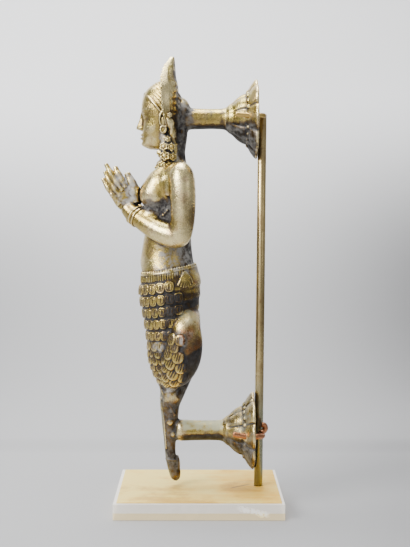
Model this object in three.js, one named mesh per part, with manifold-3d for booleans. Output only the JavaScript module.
// A cast bronze door handle in the form of a naga kanya, a serpent maiden, on a brass rod and a
// clear acrylic base. Millimetres, +Z up, origin at the middle of the base's underside.
// The maiden faces -Y, her left side is +X, and the handle's two lotus rosettes face +Y.

import * as THREE from 'three';
import { mergeVertices } from 'three/addons/utils/BufferGeometryUtils.js';
import Module from 'manifold-3d';

const wasm = await Module();
wasm.setup();

// Stand
const BASE = { depth: 100, width: 120, height: 11.5, holeRadius: 3.5, holeFloor: 3, drill: 20 };
const SHEET = { thickness: 0.5, inset: 2, frontInset: 2.4 };
const ROD = { radius: 3.175, sides: 16, footY: 43.9, footZ: 3.4, topY: 45.4, topZ: 285.6 };
const GAP = 0.3;

// Struts and rosettes
const UPPER = { axisZ: 281.8, rootY: -12 };
const LOWER = { axisZ: 53.2, rootY: -16.4 };
const STRUT_SIDES = 12;
// Distance past the root and radius, then distance before the rosette's flat back and radius
const STRUT_ROOT = [[-4, 4], [0, 6.4], [1.6, 7.9], [8, 7.6]];
const STRUT_END = [[29, 7.3], [21, 9]];
const PETALS = 8;
const PETAL_RADIUS = 28.8;
const PETAL_ROUNDNESS = 0.7;
const BEAD_RING = { radius: 19.2, beforeBack: 7.2, bead: 1.8 };
// Distance before the flat back, tip radius and valley radius of the petals there
const ROSETTE = [
  [25, 7.2, 7.2], [19.4, 11, 10.8], [14.8, 15.2, 14.1], [10.4, 17.9, 16.4],
  [8.4, 18.6, 17], [4.7, 24.9, 22.2], [1.6, PETAL_RADIUS, 24.8], [0, 28.2, 24.4],
];

// Hooks, which pass through a hole in each rosette's nearest petal
const HOOK_X = 19.5;
const HOOK_SIDES = 6;
const HOOK_DRILL = { length: 30, middleY: 34 };
const UPPER_HOOK = { z: 282.9, radius: 1.7, hole: 2.1, steps: 13 };
const LOWER_HOOK = { z: 52.6, radius: 2, hole: 2.4, steps: 18 };

// Arms
const BRACELET = { along: 0.89, reach: 0.05, relief: 1.2 };
const PALM = { x: 3.2, y: -53.4, z: 226.6, radii: [4.4, 10.8, 13.8], lean: 26 };

// Lower body
const ROW_TILT = 0.17;
const ROW_MIDDLE_Y = -22;
const TILT_FROM = 90;
const TILT_TO = 150;
const ROW_TOP = 166.4;
const ROW_PITCH = 8.8;
const ROWS = 5;
const TILES = 14;
const SCALE_RELIEF = 1.3;
const SKIRT_BELOW_ROWS = [84, 94, 108];
const SKIRT_ABOVE_ROWS = 4;
const GIRDLE = {
  top: 171.8, height: 5.6, relief: 1.3, sides: 26, front: -41.9, back: -3.2, halfWidth: 25.2,
};

// Distances along Z with the front, the back and the half width of the body there
const TORSO = [
  [150, -41, -1.6, 25.5], [160, -42.4, -1.2, 26], [168, -41.4, -1.8, 25.2], [173, -42.8, -3.2, 24],
  [179, -43.3, -4.6, 22], [186, -42.2, -5.6, 20.6], [196, -40.6, -6.3, 20.4], [207, -38, -6, 21.4],
  [218, -37.6, -5.2, 23.6], [229, -38.6, -4.8, 26.6], [238, -36.6, -5.4, 28.4], [244, -33, -7.2, 24.5],
  [248, -31, -9.4, 16.5], [252, -29.6, -11, 11], [256, -29, -11.6, 9.4], [268, -29.4, -12, 9],
];
const TORSO_HEIGHTS = [158, 166, 173, 181, 192, 205, 218, 229, 238, 244, 248, 252, 257, 264];
const SKIRT = [
  [84, -29, -15, 7.5], [90, -31.2, -11, 10.5], [97, -34.4, -7, 14.5], [106, -36.6, -4, 18.4],
  [118, -37.4, -2.4, 21.4], [131, -38.8, -1.6, 23.6], [144, -40.8, -0.6, 25.6], [154, -42.8, 0.2, 26.8],
  [163, -43.2, 0.2, 26.8], [171, -41.6, -1.6, 25],
];

// Centre lines as x, y, z, radius, for her left side where they come in pairs
const ARM = [
  [25.4, -13.6, 248, 1.8], [27, -13.3, 245.4, 6.4], [29, -12.8, 239, 8.9], [31, -12, 228, 9.1],
  [31.4, -11.8, 217, 8.8], [30.6, -12.4, 206, 8.4], [28.6, -15.4, 197.6, 8.8], [24.4, -24, 199, 8.6],
  [18.6, -34, 203.8, 7.9], [12.4, -43, 209.4, 7], [8, -49.4, 213.8, 6.1], [5.8, -53, 218, 5.4],
];
const CHEST = [[9.6, -19, 245, 7], [12, -23, 240.4, 9.6], [13, -26.6, 234.6, 11.8], [13, -30, 228, 12.4]];
const SHOULDER = [
  [15, -18.6, 245, 5.6], [20.6, -17.4, 241, 8], [22.6, -18, 234, 8.6], [22.6, -19, 225, 7],
];
const BREAST = { x: 13, y: -30.6, z: 226.4, radii: [12.4, 12.6, 12.2] };
// What joins the breast to the forearm below it
const WEB = { x: 13.5, y: -33.5, z: 212, radii: [9, 10, 6] };
const FINGERS = [
  [[4.4, -57.6, 219.6, 2.5], [4, -62.4, 226.4, 2.6], [3.6, -67, 232.4, 2.2], [2.4, -70.6, 238.4, 1.3]],
  [[5.4, -57.4, 225.6, 2.2], [4.9, -62, 231.6, 2.4], [4, -66, 237.6, 2.1], [2.8, -69.2, 243.4, 1.2]],
  [[5.9, -55.6, 229.4, 2.2], [5, -60.6, 236, 2.5], [4.1, -64.9, 242.6, 2.2], [2.8, -68.4, 249, 1.3]],
  [[5.4, -53.6, 231.6, 2.3], [4.8, -57, 237.6, 2.5], [3.9, -60, 242.8, 2.2], [3, -61.4, 247, 1.4]],
  [[5, -46.2, 221, 3.6], [5, -47.6, 230, 3.8], [4.6, -50.4, 237, 3], [4, -53, 242.4, 2]],
];
const LOOP = [
  [5, -20.4, 94, 8.2], [12, -16.2, 98.4, 11.2], [17.6, -12, 108.4, 12.8], [20.2, -9.8, 120, 12.2],
  [19.8, -9.8, 129.6, 11], [13.4, -9.2, 136, 9.6], [2, -8.6, 137.6, 9], [-10, -8.8, 136.6, 9.4],
  [-18.6, -9.8, 129.6, 10.8], [-19.6, -10.6, 118, 11.8], [-14.6, -13.2, 103, 11.8], [-5, -17.8, 90, 11],
  [0, -20, 80.6, 9], [0, -21.6, 72.6, 7.4], [0, -21.6, 65, 6.5], [0, -21.8, 57, 5.6],
  [0, -21.6, 48, 4.7], [0, -21.3, 38.4, 4.1], [0, -20.4, 30.6, 4], [0, -18.8, 23.4, 3.8],
  [0, -17.2, 18.2, 3.3], [0, -15.6, 20.6, 2.3], [0, -15.2, 28.6, 1],
];
const LOOP_SCALES = { relief: 0.4, count: 16 };

// Head: the skull's rows are distances along Z with the front, the back and the half width there
const SKULL = [
  [259.6, -36.4, -18, 7.6], [262, -40.4, -16.6, 9.6], [266, -42, -15.6, 11.6], [272, -41.8, -14.6, 13.4],
  [280, -41.4, -14, 14.8], [288, -42.4, -14, 15.3], [295, -42, -14.2, 14.8], [301, -39.6, -15.6, 12.6],
  [305, -36, -18, 9.4], [307.4, -31, -22, 4],
];
const NOSE = [[0, -41, 286, 1.5], [0, -43.4, 279, 1.9], [0, -44.2, 275.4, 2.4], [0, -41.6, 273, 1.6]];
const LIPS = { x: 0, y: -41.4, z: 268.6, radii: [4.6, 1.9, 1.7] };
const CHIN = { x: 0, y: -39.6, z: 263.4, radii: [4.6, 3, 3] };
const EYE = { x: 6.2, y: -40.2, z: 282.2, radii: [3.8, 2.4, 1.7] };
const BROW = [[2, -42.4, 286.4, 0.6], [6, -41.6, 288.6, 0.9], [10.4, -38.6, 287, 0.5]];
const EAR = { x: 15, y: -25.6, z: 280, radii: [2, 3.6, 6] };
const EARRING = { x: 15.6, y: -26.2, z: 273, radii: [2, 2.8, 3] };
const LOCK = [[13.6, -24.6, 287, 2.4], [15.4, -22.4, 278, 2.8], [13, -19.6, 267, 2.2]];
const HAIR = { y: -27, z: 286.6, radii: [16.2, 14.6, 21.6], lock: 0.5, locks: 8, steps: 5 };
const HAIRLINE = { y: -32.6, z: 292, slope: -52, size: [60, 40, 60] };
const BAND = {
  y: -29.4, z: 287.4, width: 16.2, depth: 9.6, height: 11.4, halfTurn: 104, thick: 1.1, wide: 1.6,
};
const CAP_TIP = 0.02;
// Height, half width, place of the back and how far the edges cup forward
const HOOD = [
  [262, 8, -15.6, 3], [272, 14.6, -16.4, 6.6], [284, 20.6, -16.8, 9.6], [295, 22, -16.4, 11.6],
  [304, 19.8, -16.4, 12.8], [312, 14.8, -18, 11], [319, 8.8, -18.6, 8.4], [323.6, 4.4, -19, 4.8],
  [326.4, 1.2, -19.4, 1.4],
];
const HOOD_SHELL = { thickness: 2.8, sides: 20, steps: 9, spread: 0.8, cupping: 6 };
const ROOT_MASS = { x: 0, y: -14, z: 286, radii: [9, 7.5, 11.4] };
const ROOT_RIB = [[0, -13, 280, 5], [0, -13.8, 268, 4.6], [0, -14.6, 257, 4], [0, -14, 250, 4.4]];

// Jewellery
const NECKLACE = { beads: 12, width: 13.4, depth: 10.4, y: -20.4, z: 248.4, bead: 2.2 };
const CHAIN = [
  [12.6, -24, 248, 1.2], [9.6, -33, 241.6, 1.3], [3, -40.4, 233.6, 1.3], [0, -41.6, 231, 1.3],
];
const PENDANT = { x: 0, y: -41.6, z: 229, radii: [3, 2.2, 3] };
const GARLAND = [
  [14.6, -25.6, 269, 1.8], [12.8, -24.4, 262, 3.8], [12.6, -23.4, 254, 4.8], [13, -23.8, 246, 4],
];

const bronze = new THREE.MeshStandardMaterial({ color: 0x9a7b45, roughness: 0.42, metalness: 0.9 });
const brass = new THREE.MeshStandardMaterial({ color: 0xb99a5e, roughness: 0.35, metalness: 0.95 });
const copper = new THREE.MeshStandardMaterial({ color: 0xa8664a, roughness: 0.4, metalness: 0.9 });
const acrylic = new THREE.MeshStandardMaterial({
  color: 0xe4ecee, roughness: 0.05, metalness: 0, transparent: true, opacity: 0.35,
});
const tanSheet = new THREE.MeshStandardMaterial({ color: 0xdcc494, roughness: 0.8, metalness: 0 });

const TURN = 2 * Math.PI;

function point(x, y, z) {
  return new THREE.Vector3(x, y, z);
}

/** The values of rows [key, value, ...] at a key, on a smooth curve through the rows. */
function between(rows, key) {
  let next = 1;
  while (next < rows.length - 1 && key > rows[next][0]) next += 1;
  const from = rows[next - 1];
  const to = rows[next];
  const before = rows[Math.max(next - 2, 0)];
  const after = rows[Math.min(next + 1, rows.length - 1)];
  const step = to[0] - from[0];
  const t = THREE.MathUtils.clamp((key - from[0]) / step, 0, 1);
  return from.slice(1).map((value, i) => {
    const column = i + 1;
    const leave = (to[column] - before[column]) / (to[0] - before[0]) * step;
    const arrive = (after[column] - value) / (after[0] - from[0]) * step;
    const rise = to[column] - value;
    const bend = leave + arrive - 2 * rise;
    return value + t * (leave + t * (3 * rise - 2 * leave - arrive + t * bend));
  });
}

/** A closed body whose wall runs through place(turn, along), both from 0 to 1. */
function closedBody(sides, steps, place) {
  const geometry = new THREE.CylinderGeometry(1, 1, 1, sides, steps);
  const spots = geometry.attributes.position;
  const middles = [0, 1].map((along) => {
    const sum = point(0, 0, 0);
    for (let i = 0; i < sides; i += 1) sum.add(place(i / sides, along));
    return sum.divideScalar(sides);
  });
  for (let i = 0; i < spots.count; i += 1) {
    const x = spots.getX(i);
    const z = spots.getZ(i);
    const along = 0.5 - spots.getY(i);
    const side = Math.round((Math.atan2(x, z) / TURN + 1) * sides) % sides;
    const spot = Math.hypot(x, z) > 0.5 ? place(side / sides, along) : middles[Math.round(along)];
    spots.setXYZ(i, spot.x, spot.y, spot.z);
  }
  return solid(geometry);
}

/** Turns a closed geometry into a solid whose faces point out. */
function solid(geometry) {
  geometry.deleteAttribute('normal');
  geometry.deleteAttribute('uv');
  const merged = mergeVertices(geometry, 1e-4);
  const places = merged.attributes.position.array;
  const corners = [];
  let volume = 0;
  const [a, b, c] = [point(), point(), point()];
  for (let i = 0; i < merged.index.count; i += 3) {
    const [p, q, r] = [0, 1, 2].map((k) => merged.index.getX(i + k));
    if (p !== q && q !== r && r !== p) {
      corners.push([p, q, r]);
      a.fromArray(places, 3 * p);
      b.fromArray(places, 3 * q);
      c.fromArray(places, 3 * r);
      volume += a.dot(b.cross(c));
    }
  }
  const outward = volume > 0 ? corners : corners.map(([p, q, r]) => [p, r, q]);
  return new wasm.Manifold(new wasm.Mesh({
    numProp: 3,
    vertProperties: new Float32Array(places),
    triVerts: new Uint32Array(outward.flat()),
  }));
}

/** Joins solids into one. */
function joined(solids) {
  return solids.reduce((whole, next) => whole.add(next));
}

/** A tube along a centre line of rows [x, y, z, radius], with an optional relief. */
function tube(rows, sides, steps, relief = () => 0) {
  let length = 0;
  const keyed = rows.map((row, i) => {
    if (i > 0) length += point(...row).distanceTo(point(...rows[i - 1]));
    return [length, ...row];
  });
  const rings = [];
  let across = point(0, 0, 0);
  for (let i = 0; i <= steps; i += 1) {
    const key = length * i / steps;
    const [x, y, z, radius] = between(keyed, key);
    const ahead = point(...between(keyed, Math.min(key + 0.5, length)));
    const back = point(...between(keyed, Math.max(key - 0.5, 0)));
    const forward = ahead.sub(back).normalize();
    if (i === 0) across = Math.abs(forward.x) < 0.8 ? point(1, 0, 0) : point(0, 1, 0);
    across.addScaledVector(forward, -across.dot(forward)).normalize();
    rings.push({ centre: point(x, y, z), radius, across: across.clone(),
      up: point(0, 0, 0).crossVectors(forward, across) });
  }
  return closedBody(sides, steps, (turn, along) => {
    const ring = rings[Math.round(along * steps)];
    const reach = ring.radius + relief(turn, along);
    return ring.centre.clone()
      .addScaledVector(ring.across, reach * Math.cos(turn * TURN))
      .addScaledVector(ring.up, reach * Math.sin(turn * TURN));
  });
}

/** A round body along Y through rings [x, y, z, radius], with a ring at each row. */
function lathe(rings, sides) {
  return closedBody(sides, rings.length - 1, (turn, along) => {
    const [x, y, z, radius] = rings[Math.round(along * (rings.length - 1))];
    return point(x + radius * Math.sin(turn * TURN), y, z + radius * Math.cos(turn * TURN));
  });
}

/** An upright body through rows [z, front, back, half width], tilted by a rise per mm of depth. */
function column(rows, sides, heights, tilt = () => 0, relief = () => 0) {
  return closedBody(sides, heights.length - 1, (turn, along) => {
    const height = heights[Math.round(along * (heights.length - 1))];
    const [front, back, halfWidth] = between(rows, height);
    const angle = turn * TURN;
    const proud = relief(turn, height);
    const y = (front + back) / 2 - ((back - front) / 2 + proud) * Math.cos(angle);
    const x = (halfWidth + proud) * Math.sin(angle);
    return point(x, y, height + tilt(height) * (y - ROW_MIDDLE_Y));
  });
}

/** An egg at a place with its own radii, turned about X by its lean in degrees. */
function egg({ x, y, z, radii, lean = 0 }, sides) {
  const geometry = new THREE.SphereGeometry(1, sides, Math.max(4, Math.round(sides * 0.6)));
  geometry.rotateX(Math.PI / 2);
  geometry.scale(...radii);
  geometry.rotateX(THREE.MathUtils.degToRad(lean));
  geometry.translate(x, y, z);
  return solid(geometry);
}

/** A tube that is given for her left side, on both sides. */
function tubePair(rows, sides, steps, relief) {
  return [1, -1].map((side) => tube(rows.map(([x, ...rest]) => [x * side, ...rest]), sides, steps, relief));
}

/** An egg that is given for her left side, on both sides. */
function eggPair(shape, sides) {
  return [1, -1].map((side) => egg({ ...shape, x: shape.x * side }, sides));
}

/** A small bead with few faces. */
function bead(x, y, z, radius) {
  const geometry = new THREE.OctahedronGeometry(radius);
  geometry.translate(x, y, z);
  return solid(geometry);
}

/** Evenly spaced heights from one value to another. */
function steps(from, to, count) {
  return Array.from({ length: count + 1 }, (_, i) => from + (to - from) * i / count);
}

// Body

function torso() {
  return [
    column(TORSO, 16, TORSO_HEIGHTS), ...eggPair(BREAST, 10), ...eggPair(WEB, 6),
    ...tubePair(CHEST, 9, 3), ...tubePair(SHOULDER, 7, 3),
  ];
}

/** Rows of scales, each highest at its lower edge, with a groove between neighbours. */
function scaleRelief(turn, height) {
  const row = (ROW_TOP - height) / ROW_PITCH;
  const inGroove = Math.round(turn * TILES * 3) % 3 === 0;
  if (row < 0 || row > ROWS || inGroove) return 0;
  return SCALE_RELIEF * (row - Math.floor(row));
}

function skirt() {
  const heights = [...SKIRT_BELOW_ROWS];
  for (let row = ROWS - 1; row >= 0; row -= 1) {
    const top = ROW_TOP - row * ROW_PITCH;
    heights.push(top - ROW_PITCH * 0.98, top - ROW_PITCH * 0.12);
  }
  heights.push(ROW_TOP + SKIRT_ABOVE_ROWS);
  const tilt = (height) => ROW_TILT * THREE.MathUtils.smoothstep(height, TILT_FROM, TILT_TO);
  return column(SKIRT, TILES * 3, heights, tilt, scaleRelief);
}

function girdle() {
  const low = GIRDLE.top - GIRDLE.height;
  const rows = [[low - 1, 0.2], [low, 1], [GIRDLE.top, 1], [GIRDLE.top + 1, 0.2]];
  return closedBody(GIRDLE.sides, rows.length - 1, (turn, along) => {
    const [height, share] = rows[Math.round(along * (rows.length - 1))];
    const proud = GIRDLE.relief * share;
    const { front, back, halfWidth } = GIRDLE;
    const y = (front + back) / 2 - ((back - front) / 2 + proud) * Math.cos(turn * TURN);
    return point((halfWidth + proud) * Math.sin(turn * TURN), y,
      height + ROW_TILT * (y - ROW_MIDDLE_Y));
  });
}

/** The serpent body that rises round her left side, passes behind and ends in the tail. */
function serpent() {
  const { relief, count } = LOOP_SCALES;
  return tube(LOOP, 9, 2 * count, (turn, along) => relief * Math.cos(along * TURN * count));
}

// Arms and hands

/** The hands, flat against each other, with fanned fingers. */
function hands() {
  return [...eggPair(PALM, 8), ...FINGERS.flatMap((finger) => tubePair(finger, 4, 3))];
}

function arms() {
  const { along: place, reach, relief } = BRACELET;
  return tubePair(ARM, 8, 13, (turn, along) => (Math.abs(along - place) < reach ? relief : 0));
}

// Head

function head() {
  const skull = column(SKULL, 11, steps(SKULL[0][0], SKULL[SKULL.length - 1][0], 8));
  return [
    skull, tube(NOSE, 5, 4), egg(LIPS, 7), egg(CHIN, 6), ...eggPair(EYE, 6), ...tubePair(BROW, 4, 3),
    ...eggPair(EAR, 6), ...eggPair(EARRING, 6), ...tubePair(LOCK, 6, 3),
  ];
}

/** Hair combed back in locks from a raised band, and cut off along the hairline. */
function hair() {
  const cap = closedBody(HAIR.locks * 2, HAIR.steps, (turn, along) => {
    const polar = Math.PI * (CAP_TIP + (1 - 2 * CAP_TIP) * along);
    const lock = Math.round(turn * HAIR.locks * 2) % 2 ? 0 : HAIR.lock;
    const [width, depth, height] = HAIR.radii.map((radius) => radius + lock);
    return point(width * Math.sin(polar) * Math.sin(turn * TURN),
      HAIR.y - depth * Math.sin(polar) * Math.cos(turn * TURN), HAIR.z + height * Math.cos(polar));
  });
  const face = new THREE.BoxGeometry(...HAIRLINE.size);
  face.translate(0, -HAIRLINE.size[1] / 2, -HAIRLINE.size[2] / 2);
  face.rotateX(THREE.MathUtils.degToRad(HAIRLINE.slope));
  face.translate(0, HAIRLINE.y, HAIRLINE.z);
  const band = closedBody(5, 8, (turn, along) => {
    const round = THREE.MathUtils.degToRad(BAND.halfTurn * (2 * along - 1));
    const out = Math.cos(round);
    return point(BAND.width * Math.sin(round) * (1 + 0.05 * Math.cos(turn * TURN)),
      BAND.y - BAND.depth * out - BAND.thick * Math.cos(turn * TURN),
      BAND.z + BAND.height * out + BAND.wide * Math.sin(turn * TURN));
  });
  return [cap.subtract(solid(face)), band];
}

/** The hood behind the head: a pointed leaf, cupped forward at its edges. */
function hood() {
  const { thickness, sides, steps: count, spread, cupping } = HOOD_SHELL;
  const low = HOOD[0][0];
  const high = HOOD[HOOD.length - 1][0];
  return closedBody(sides, count, (turn, along) => {
    const height = low + (high - low) * along;
    const [halfWidth, back, cup] = between(HOOD, height);
    const across = Math.sin(turn * TURN);
    const inside = Math.min(Math.cos(turn * TURN), 0);
    const flat = Math.sign(across) * Math.abs(across) ** spread;
    return point(halfWidth * flat, back - cup * flat ** cupping - thickness * inside ** 2, height);
  });
}

// Jewels

function necklace() {
  const beads = [];
  for (let i = 0; i < NECKLACE.beads; i += 1) {
    const angle = TURN * (i + 0.5) / NECKLACE.beads;
    beads.push(bead(NECKLACE.width * Math.sin(angle), NECKLACE.y - NECKLACE.depth * Math.cos(angle),
      NECKLACE.z, NECKLACE.bead));
  }
  return [...beads, ...tubePair(CHAIN, 5, 4), ...tubePair(GARLAND, 7, 3), egg(PENDANT, 6)];
}

// Struts and rosettes

/** Where the leaning rod's axis is along Y at a height. */
function rodY(height) {
  return THREE.MathUtils.mapLinear(height, ROD.footZ, ROD.topZ, ROD.footY, ROD.topY);
}

/** A strut from the figure to a lotus rosette with two tiers of petals. */
function strutAndRosette({ axisZ, rootY }) {
  const backY = rodY(axisZ - PETAL_RADIUS) - ROD.radius - GAP;
  const rows = [
    ...STRUT_ROOT.map(([pastRoot, radius]) => [0, rootY + pastRoot, axisZ, radius]),
    ...STRUT_END.map(([beforeBack, radius]) => [0, backY - beforeBack, axisZ, radius]),
  ];
  const rosette = closedBody(PETALS * 4, ROSETTE.length - 1, (turn, along) => {
    const [beforeBack, tip, valley] = ROSETTE[Math.round(along * (ROSETTE.length - 1))];
    const open = Math.abs(Math.cos(turn * TURN * PETALS / 2));
    const radius = valley + (tip - valley) * open ** PETAL_ROUNDNESS;
    return point(radius * Math.sin(turn * TURN), backY - beforeBack, axisZ + radius * Math.cos(turn * TURN));
  });
  const beads = [];
  for (let i = 0; i < PETALS; i += 1) {
    const angle = TURN * (i + 0.5) / PETALS;
    beads.push(bead(BEAD_RING.radius * Math.sin(angle), backY - BEAD_RING.beforeBack,
      axisZ + BEAD_RING.radius * Math.cos(angle), BEAD_RING.bead));
  }
  return [lathe(rows, STRUT_SIDES), rosette, ...beads];
}

/** What joins the hood to the upper strut and the nape. */
function strutRoots() {
  return [egg(ROOT_MASS, 10), tube(ROOT_RIB, 8, 5)];
}

function hookHole(hook) {
  const geometry = new THREE.CylinderGeometry(hook.hole, hook.hole, HOOK_DRILL.length, 12);
  geometry.translate(HOOK_X, HOOK_DRILL.middleY, hook.z);
  return solid(geometry);
}

// Stand pieces

function rod() {
  return tube([[0, ROD.footY, ROD.footZ, ROD.radius], [0, ROD.topY, ROD.topZ, ROD.radius]], ROD.sides, 1);
}

/** A wire through rows [x, y, rise over the hook's height]. */
function wire(hook, places) {
  return tube(places.map(([x, y, rise]) => [x, y, hook.z + rise, hook.radius]), HOOK_SIDES, hook.steps);
}

function upperHook() {
  return wire(UPPER_HOOK, [
    [HOOK_X, 24.9, 0.8], [HOOK_X, 30, 0.3], [HOOK_X, 35, 0], [HOOK_X, 42.6, 0],
    [17.6, 45.2, 0], [12, 45.4, 0.1], [ROD.radius + GAP, 45.4, 0.3],
  ]);
}

function lowerHook() {
  return wire(LOWER_HOOK, [
    [HOOK_X, 24.2, 1.8], [HOOK_X, 30, 0.7], [HOOK_X, 35, 0], [HOOK_X, 42.6, 0], [15, 46, -0.4],
    [7.4, 45, 0.2], [6, 47.4, 1.2], [6, 48.7, 3.2], [6, 47.8, 5.6], [6, 45.4, 6],
  ]);
}

/** What is drilled for the rod's foot. */
function rodHole() {
  const geometry = new THREE.CylinderGeometry(BASE.holeRadius, BASE.holeRadius, BASE.drill, ROD.sides);
  geometry.rotateX(Math.PI / 2);
  geometry.translate(0, ROD.footY, BASE.holeFloor + BASE.drill / 2);
  return solid(geometry);
}

function baseBlock() {
  const block = new THREE.BoxGeometry(BASE.depth, BASE.width, BASE.height);
  block.translate(0, 0, BASE.height / 2);
  return solid(block).subtract(rodHole());
}

function facingSheet() {
  const low = -BASE.width / 2 + SHEET.frontInset;
  const high = BASE.width / 2 - SHEET.inset;
  const sheet = new THREE.BoxGeometry(BASE.depth - 2 * SHEET.inset, high - low, SHEET.thickness);
  sheet.translate(0, (low + high) / 2, BASE.height + SHEET.thickness / 2);
  return solid(sheet).subtract(rodHole());
}

// Assembly

function handle() {
  const body = joined([
    ...torso(), skirt(), girdle(), serpent(), ...arms(), ...hands(),
    ...head(), ...hair(), hood(), ...necklace(), ...strutRoots(),
    ...strutAndRosette(UPPER), ...strutAndRosette(LOWER),
  ]);
  return body.subtract(hookHole(UPPER_HOOK)).subtract(hookHole(LOWER_HOOK));
}

function meshOf(name, body, material) {
  const { vertProperties, triVerts } = body.getMesh();
  const geometry = new THREE.BufferGeometry();
  geometry.setAttribute('position', new THREE.BufferAttribute(vertProperties, 3));
  geometry.setIndex(new THREE.BufferAttribute(triVerts, 1));
  geometry.computeVertexNormals();
  const mesh = new THREE.Mesh(geometry, material);
  mesh.name = name;
  return mesh;
}

const group = new THREE.Group();
group.add(
  meshOf('naga_kanya_handle', handle(), bronze),
  meshOf('display_rod', rod(), brass),
  meshOf('upper_hook', upperHook(), brass),
  meshOf('lower_hook', lowerHook(), copper),
  meshOf('base_block', baseBlock(), acrylic),
  meshOf('facing_sheet', facingSheet(), tanSheet),
);

export default group;
